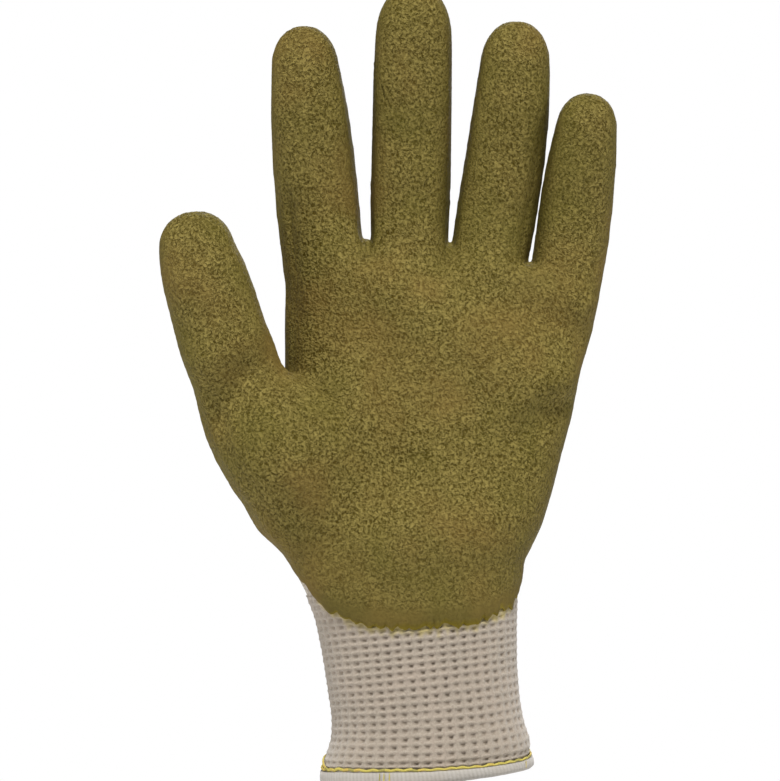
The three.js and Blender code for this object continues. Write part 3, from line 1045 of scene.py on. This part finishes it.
def mix_colour(tree, share, first, second):
    node = tree.nodes.new("ShaderNodeMix")
    node.data_type = "RGBA"
    sockets = {socket.name: socket for socket in node.inputs if socket.enabled}
    for name, value in (("Factor", share), ("A", first), ("B", second)):
        if isinstance(value, tuple):
            sockets[name].default_value = (*value, 1)
        else:
            tree.links.new(value, sockets[name])
    return next(socket for socket in node.outputs if socket.enabled)


def spread(tree, value, low, high, to_low=0.0, to_high=1.0):
    node = tree.nodes.new("ShaderNodeMapRange")
    tree.links.new(value, node.inputs["Value"])
    ends = {"From Min": low, "From Max": high, "To Min": to_low, "To Max": to_high}
    for name, number in ends.items():
        node.inputs[name].default_value = number
    return node.outputs["Result"]


def ridges_group():
    """Worm-like ridges of crinkled latex: crests near 1, creases near 0."""
    group, take, give = new_group("crinkle_ridges", [("Scale", 420.0), ("Swirl", 1.2)], "Height")
    squash = group.nodes.new("ShaderNodeVectorMath")
    squash.operation = "MULTIPLY"
    squash.inputs[1].default_value = (1.04, 1.0, 0.96)
    group.links.new(object_place(group), squash.inputs[0])
    node = group.nodes.new("ShaderNodeTexNoise")
    node.inputs["Detail"].default_value = 1.0
    group.links.new(squash.outputs[0], node.inputs["Vector"])
    group.links.new(take.outputs["Scale"], node.inputs["Scale"])
    group.links.new(take.outputs["Swirl"], node.inputs["Distortion"])
    group.links.new(spread(group, node.outputs["Fac"], 0.3, 0.66), give.inputs["Height"])
    return group


def noise_group(name, output, detail, distortion=0.0):
    """Plain noise of a given scale, as a height or a tone."""
    group, take, give = new_group(name, [("Scale", 100.0)], output)
    node = group.nodes.new("ShaderNodeTexNoise")
    node.inputs["Detail"].default_value = detail
    node.inputs["Distortion"].default_value = distortion
    group.links.new(object_place(group), node.inputs["Vector"])
    group.links.new(take.outputs["Scale"], node.inputs["Scale"])
    group.links.new(node.outputs["Fac"], give.inputs[output])
    return group


# The crinkle, the plies and fibres of a yarn, a broad uneven tone and a fine grain.
RIDGES = ridges_group()
YARN = noise_group("yarn_fibres", "Height", detail=3, distortion=0.6)
TONE = noise_group("broad_tone", "Tone", detail=2)
GRAIN = noise_group("fine_grain", "Height", detail=2)


def use(tree, group, **values):
    node = tree.nodes.new("ShaderNodeGroup")
    node.node_tree = group
    for name, value in values.items():
        node.inputs[name.capitalize()].default_value = value
    return node.outputs[0]


def new_material(name, roughness):
    material = bpy.data.materials.new(name)
    material.use_nodes = True
    tree = material.node_tree
    shader = tree.nodes["Principled BSDF"]
    shader.inputs["Roughness"].default_value = roughness
    return material, tree, shader


def add_sheen(shader, weight, roughness):
    shader.inputs["Sheen Weight"].default_value = weight
    shader.inputs["Sheen Roughness"].default_value = roughness


def add_bump(tree, shader, height, distance):
    node = tree.nodes.new("ShaderNodeBump")
    node.inputs["Distance"].default_value = distance * MM
    node.inputs["Strength"].default_value = 1.0
    tree.links.new(height, node.inputs["Height"])
    tree.links.new(node.outputs["Normal"], shader.inputs["Normal"])


# Colours as shares of red, green and blue light.
# The latex pit and crest colours are painted shade in the crinkle's creases and painted light on
# its ridges.
LATEX_PIT_PAINTED_SHADE = (0.058, 0.040, 0.001)
LATEX_CREST_PAINTED_LIGHT = (0.236, 0.185, 0.049)
LATEX_PLAIN = (0.102, 0.077, 0.016)
LATEX_WARM = (0.190, 0.117, 0.028)
LATEX_GREEN = (0.107, 0.096, 0.012)
LATEX_EDGE = (0.20, 0.15, 0.013)
# The liner's deep colour is painted shade in the grooves between the stitch legs.
LINER_GROOVE_PAINTED_SHADE = (0.27, 0.22, 0.165)
LINER_CREST = (0.50, 0.43, 0.345)
LINER_WARM = (0.42, 0.35, 0.26)
CUFF_DEEP = (0.284, 0.235, 0.180)
CUFF_CREST = (0.367, 0.312, 0.245)
CUFF_WARM = (0.367, 0.292, 0.227)
# The dimple colour is painted shade in the knit's dimples and on the cuff's inside wall.
CUFF_DIMPLE_PAINTED_SHADE = (0.235, 0.187, 0.137)
CUFF_SOAKED = (0.40, 0.32, 0.12)
# The hem's deep colour is painted shade in the grooves between its ribs.
HEM_GROOVE_PAINTED_SHADE = (0.354, 0.327, 0.284)
HEM_CREST = (0.405, 0.376, 0.337)
HEM_WARM = (0.368, 0.322, 0.265)
THREAD_YELLOW = (0.50, 0.42, 0.085)
THREAD_GOLD = (0.54, 0.385, 0.08)
THREAD_OLIVE = (0.30, 0.265, 0.065)
THREAD_DEEP = (0.45, 0.36, 0.05)


def latex_finish():
    material, tree, shader = new_material("olive_crinkled_latex", 0.7)
    crinkled_share = math_node(tree, "SUBTRACT", 1.0, attribute(tree, "smooth"))
    relief = use(tree, RIDGES, scale=1200.0, swirl=0.6)
    # Painted shade and light: the crinkle's pits are coloured darker and its crests lighter, as
    # their own shading would make them.
    skin = mix_colour(tree, relief, LATEX_PIT_PAINTED_SHADE, LATEX_CREST_PAINTED_LIGHT)
    plain = mix_colour(tree, crinkled_share, LATEX_PLAIN, skin)
    tone = use(tree, TONE, scale=42.0)
    warm = mix_colour(tree, spread(tree, tone, 0.5, 0.72, 0.0, 0.42), plain, LATEX_WARM)
    green = mix_colour(tree, spread(tree, tone, 0.48, 0.3, 0.0, 0.3), warm, LATEX_GREEN)
    edge = mix_colour(tree, attribute(tree, "rim"), green, LATEX_EDGE)
    tree.links.new(edge, shader.inputs["Base Color"])
    tree.links.new(spread(tree, relief, 0.0, 1.0, 0.6, 0.75), shader.inputs["Roughness"])
    shader.inputs["Specular IOR Level"].default_value = 0.12
    grain = use(tree, GRAIN, scale=2400.0)
    raised = math_node(tree, "MULTIPLY", relief, crinkled_share)
    height = math_node(tree, "ADD", raised, math_node(tree, "MULTIPLY", grain, 0.12))
    add_bump(tree, shader, height, 0.5)
    return material


def liner_finish():
    material, tree, shader = new_material("beige_plain_knit", 0.9)
    # A wale is two legs leaning together; a stitch's rise runs across a leg and along it.
    in_wale = math_node(tree, "FRACT", attribute(tree, "wale"))
    leg = math_node(tree, "ABSOLUTE", math_node(tree, "SUBTRACT", in_wale, 0.5))
    leaning = math_node(tree, "MULTIPLY", leg, 1.3)
    phase = math_node(tree, "FRACT", math_node(tree, "ADD", attribute(tree, "course"), leaning))
    across = math_node(tree, "SINE", math_node(tree, "MULTIPLY", leg, 2 * math.pi))
    lengthways = math_node(tree, "SINE", math_node(tree, "MULTIPLY", phase, math.pi))
    across = math_node(tree, "POWER", across, 0.7)
    lengthways = math_node(tree, "POWER", lengthways, 0.5)
    stitch = math_node(tree, "MULTIPLY", across, lengthways)
    fibre = use(tree, YARN, scale=2200.0)
    # Painted shade: the yarn is coloured darker in the grooves between the stitch legs than on the
    # legs.
    colour = mix_colour(tree, spread(tree, stitch, 0.1, 0.9), LINER_GROOVE_PAINTED_SHADE, LINER_CREST)
    tone = use(tree, TONE, scale=55.0)
    colour = mix_colour(tree, spread(tree, tone, 0.35, 0.75, 0.0, 0.35), colour, LINER_WARM)
    tree.links.new(colour, shader.inputs["Base Color"])
    add_sheen(shader, 0.25, 0.6)
    height = math_node(tree, "ADD", stitch, math_node(tree, "MULTIPLY", fibre, 0.35))
    add_bump(tree, shader, height, 0.35)
    return material


def cuff_finish():
    material, tree, shader = new_material("beige_mesh_yarn", 0.92)
    fibre = use(tree, YARN, scale=1700.0)
    tone = use(tree, TONE, scale=120.0)
    colour = mix_colour(tree, spread(tree, fibre, 0.35, 0.7), CUFF_DEEP, CUFF_CREST)
    colour = mix_colour(tree, spread(tree, tone, 0.4, 0.75, 0.0, 0.4), colour, CUFF_WARM)
    # Painted shade in the dimples and on the inside wall, by the sunk value.
    colour = mix_colour(tree, attribute(tree, "sunk"), colour, CUFF_DIMPLE_PAINTED_SHADE)
    colour = mix_colour(tree, attribute(tree, "soak"), colour, CUFF_SOAKED)
    tree.links.new(colour, shader.inputs["Base Color"])
    add_sheen(shader, 0.3, 0.6)
    add_bump(tree, shader, fibre, 0.25)
    return material


def hem_finish():
    material, tree, shader = new_material("off_white_overlock", 0.85)
    fibre = use(tree, YARN, scale=1500.0)
    tone = use(tree, TONE, scale=160.0)
    # Painted shade: the yarn is coloured darker in the grooves between the ribs than on them.
    ribs = spread(tree, attribute(tree, "rib"), -1.0, 0.6)
    colour = mix_colour(tree, ribs, HEM_GROOVE_PAINTED_SHADE, HEM_CREST)
    colour = mix_colour(tree, spread(tree, tone, 0.45, 0.75, 0.0, 0.5), colour, HEM_WARM)
    tree.links.new(colour, shader.inputs["Base Color"])
    add_sheen(shader, 0.2, 0.5)
    add_bump(tree, shader, fibre, 0.16)
    return material


def thread_finish():
    material, tree, shader = new_material("yellow_overlock_thread", 0.7)
    shade = attribute(tree, "shade")
    fibre = use(tree, YARN, scale=2600.0)
    colour = mix_colour(tree, spread(tree, shade, 0.55, 0.7), THREAD_YELLOW, THREAD_GOLD)
    colour = mix_colour(tree, spread(tree, shade, 0.8, 0.84), colour, THREAD_OLIVE)
    colour = mix_colour(tree, spread(tree, fibre, 0.4, 0.75, 0.0, 0.5), colour, THREAD_DEEP)
    tree.links.new(colour, shader.inputs["Base Color"])
    add_bump(tree, shader, fibre, 0.14)
    return material


def finish_piece(piece, material, node):
    mesh = piece.data
    mesh.materials.clear()
    mesh.materials.append(material)
    shade_smooth(mesh)
    mesh.update()
    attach(piece, "root")
    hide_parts(node)


# Soft lamps that face the middle of the glove: name, place, width and height in metres, watts.
LAMPS = [
    ("key", (0.12, -1.5, 2.52), (0.87, 0.87), 101),
    ("side_left", (-0.95, -0.3, 0.12), (0.35, 0.45), 5.0),
    ("side_right", (0.95, -0.3, 0.16), (0.35, 0.45), 3.4),
    ("behind", (0.1, 1.0, 0.6), (0.8, 0.8), 9),
]
LAMP_AIM = (0, 0, 0.13)
SURROUND_LIGHT = 0.06
FLOOR_GAP = 0.001


def lamp(name, place_at, size, power):
    light = bpy.data.lights.new(name, "AREA")
    light.shape = "RECTANGLE"
    light.size, light.size_y = size
    light.energy = power
    obj = linked(name, light)
    obj.location = place_at
    way = Vector(LAMP_AIM) - Vector(place_at)
    obj.rotation_euler = way.to_track_quat("-Z", "Y").to_euler()


def white_to_camera(tree, surface, target):
    """The camera sees plain white; light and reflections meet the given surface."""
    white = tree.nodes.new("ShaderNodeEmission")
    white.inputs["Color"].default_value = (1, 1, 1, 1)
    white.inputs["Strength"].default_value = 1.0
    path = tree.nodes.new("ShaderNodeLightPath")
    either = tree.nodes.new("ShaderNodeMixShader")
    tree.links.new(path.outputs["Is Camera Ray"], either.inputs[0])
    tree.links.new(surface, either.inputs[1])
    tree.links.new(white.outputs[0], either.inputs[2])
    tree.links.new(either.outputs[0], target)


def studio():
    """Pale floor, soft light from the front and above, an even white surround."""
    scene = bpy.context.scene
    scene.view_settings.view_transform = "Standard"
    floor = new_plane("floor", 3, (0, 0, float(CAD_BOX[0][2]) - FLOOR_GAP))
    material, tree, shader = new_material("pale_floor", 0.8)
    shader.inputs["Base Color"].default_value = (0.7, 0.7, 0.7, 1)
    white_to_camera(tree, shader.outputs["BSDF"], tree.nodes["Material Output"].inputs["Surface"])
    floor.data.materials.append(material)
    for row in LAMPS:
        lamp(*row)
    world = bpy.data.worlds.new("surround")
    scene.world = world
    world.use_nodes = True
    tree = world.node_tree
    light = tree.nodes["Background"]
    light.inputs["Color"].default_value = (1, 1, 1, 1)
    light.inputs["Strength"].default_value = SURROUND_LIGHT
    white_to_camera(tree, light.outputs[0], tree.nodes["World Output"].inputs["Surface"])


def camera_in_front():
    lens = bpy.data.cameras.new("front")
    lens.lens = 223.05
    lens.sensor_width = 36
    lens.clip_end = 20
    camera = linked("front", lens)
    camera.location = (-0.01085, -1.5, 0.1204)
    camera.rotation_euler = (math.pi / 2, 0, 0)
    bpy.context.scene.camera = camera


form = knitted_form()
latex = latex_skin(form)
grid, out = cuff_grid(form)
cuff = mesh_cuff(grid, out)
hem = hem_band(grid, out)
thread = stitch_thread(grid, out)
liner = liner_from(form)
bpy.data.objects.remove(form)

finish_piece(liner, liner_finish(), "knit_hand")
finish_piece(cuff, cuff_finish(), "knit_cuff")
finish_piece(hem, hem_finish(), "hem_band")
finish_piece(thread, thread_finish(), "hem_thread")
finish_piece(latex, latex_finish(), "latex_coating")

studio()
camera_in_front()
